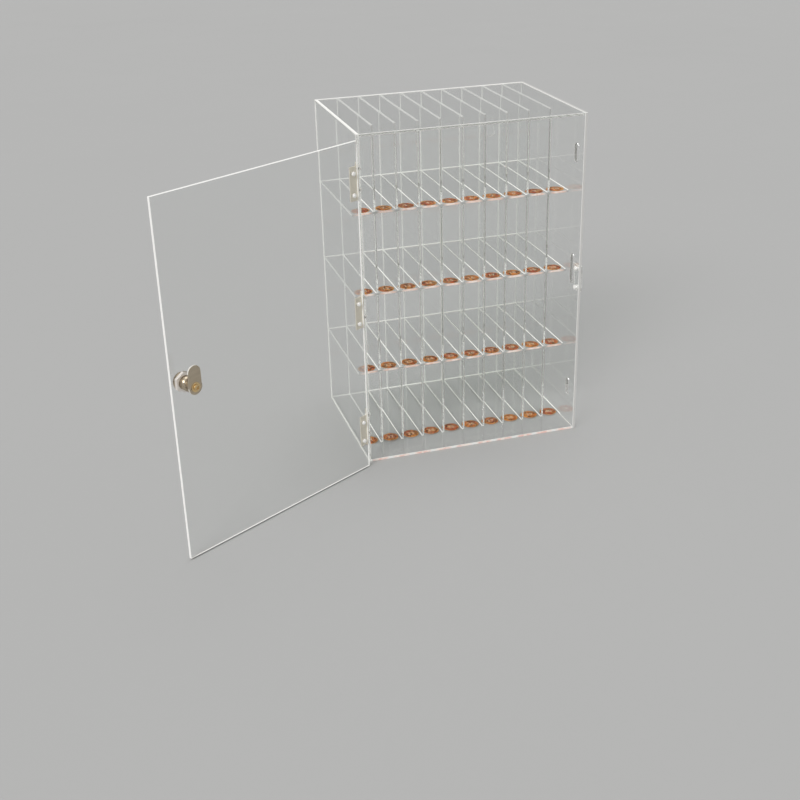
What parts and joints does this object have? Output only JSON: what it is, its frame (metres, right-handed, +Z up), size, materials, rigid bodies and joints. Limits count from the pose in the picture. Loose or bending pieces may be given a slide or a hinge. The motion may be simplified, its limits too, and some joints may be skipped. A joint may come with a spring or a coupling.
{
  "type": "phone storage cabinet",
  "caption": "Clear sheet cabinet with a rack of narrow upright phone cells, a side-hung door on butt hinges and a cam lock whose tongue turns into a slot in the side panel.",
  "frame": {"origin": "middle of the cabinet's footprint, on the surface that it stands on", "axes": "+X to the right of someone facing the cabinet, +Y from the front to the back panel, +Z up"},
  "size_m": [0.6415, 0.4459, 0.5],
  "materials": {
    "clear_sheet": "clear cast sheet, polished faces and bright sawn edges",
    "hinge_steel": "pressed steel, satin",
    "lock_nickel": "nickel plated, lightly worn",
    "fastener_steel": "bright plated steel",
    "sticker": "printed paper, satin"
  },
  "bodies": {
    "cabinet": {"left_panel": "clear_sheet", "right_panel": "clear_sheet", "back_panel": "clear_sheet", "top_panel": "clear_sheet", "bottom_panel": "clear_sheet", "shelf_lower": "clear_sheet", "shelf_middle": "clear_sheet", "shelf_upper": "clear_sheet", "divider_1": "clear_sheet", "divider_2": "clear_sheet", "divider_3": "clear_sheet", "divider_4": "clear_sheet", "divider_5": "clear_sheet", "divider_6": "clear_sheet", "divider_7": "clear_sheet", "divider_8": "clear_sheet", "divider_9": "clear_sheet", "number_stickers_row_1": "sticker", "number_stickers_row_2": "sticker", "number_stickers_row_3": "sticker", "number_stickers_row_4": "sticker", "hinge_lower_frame_leaf": "hinge_steel", "hinge_middle_frame_leaf": "hinge_steel", "hinge_upper_frame_leaf": "hinge_steel", "hinge_lower_pin": "hinge_steel", "hinge_middle_pin": "hinge_steel", "hinge_upper_pin": "hinge_steel", "frame_leaf_screws": "fastener_steel", "frame_leaf_nuts": "fastener_steel", "keeper_plate": "clear_sheet", "keeper_bolts": "fastener_steel", "keeper_nuts": "fastener_steel"},
    "door": {"door_panel": "clear_sheet", "hinge_lower_door_leaf": "hinge_steel", "hinge_middle_door_leaf": "hinge_steel", "hinge_upper_door_leaf": "hinge_steel", "door_leaf_screws": "fastener_steel", "door_leaf_nuts": "fastener_steel", "lock_housing": "lock_nickel", "lock_washer": "lock_nickel", "lock_nut": "lock_nickel"},
    "lock_plug": {"lock_plug": "lock_nickel", "cam": "lock_nickel", "cam_washer": "fastener_steel", "cam_screw": "fastener_steel"}
  },
  "joints": [
    {"name": "door_hinge", "type": "hinge", "parent": "cabinet", "child": "door", "pos_m": [-0.1725, -0.128, 0.25], "axis": [0, 0, -1], "range_deg": [-150, 90]},
    {"name": "lock_turn", "type": "hinge", "parent": "door", "child": "lock_plug", "pos_m": [-0.45027, -0.29588, 0.256], "axis": [0.5, -0.866, 0], "range_deg": [0, 90]}
  ]
}
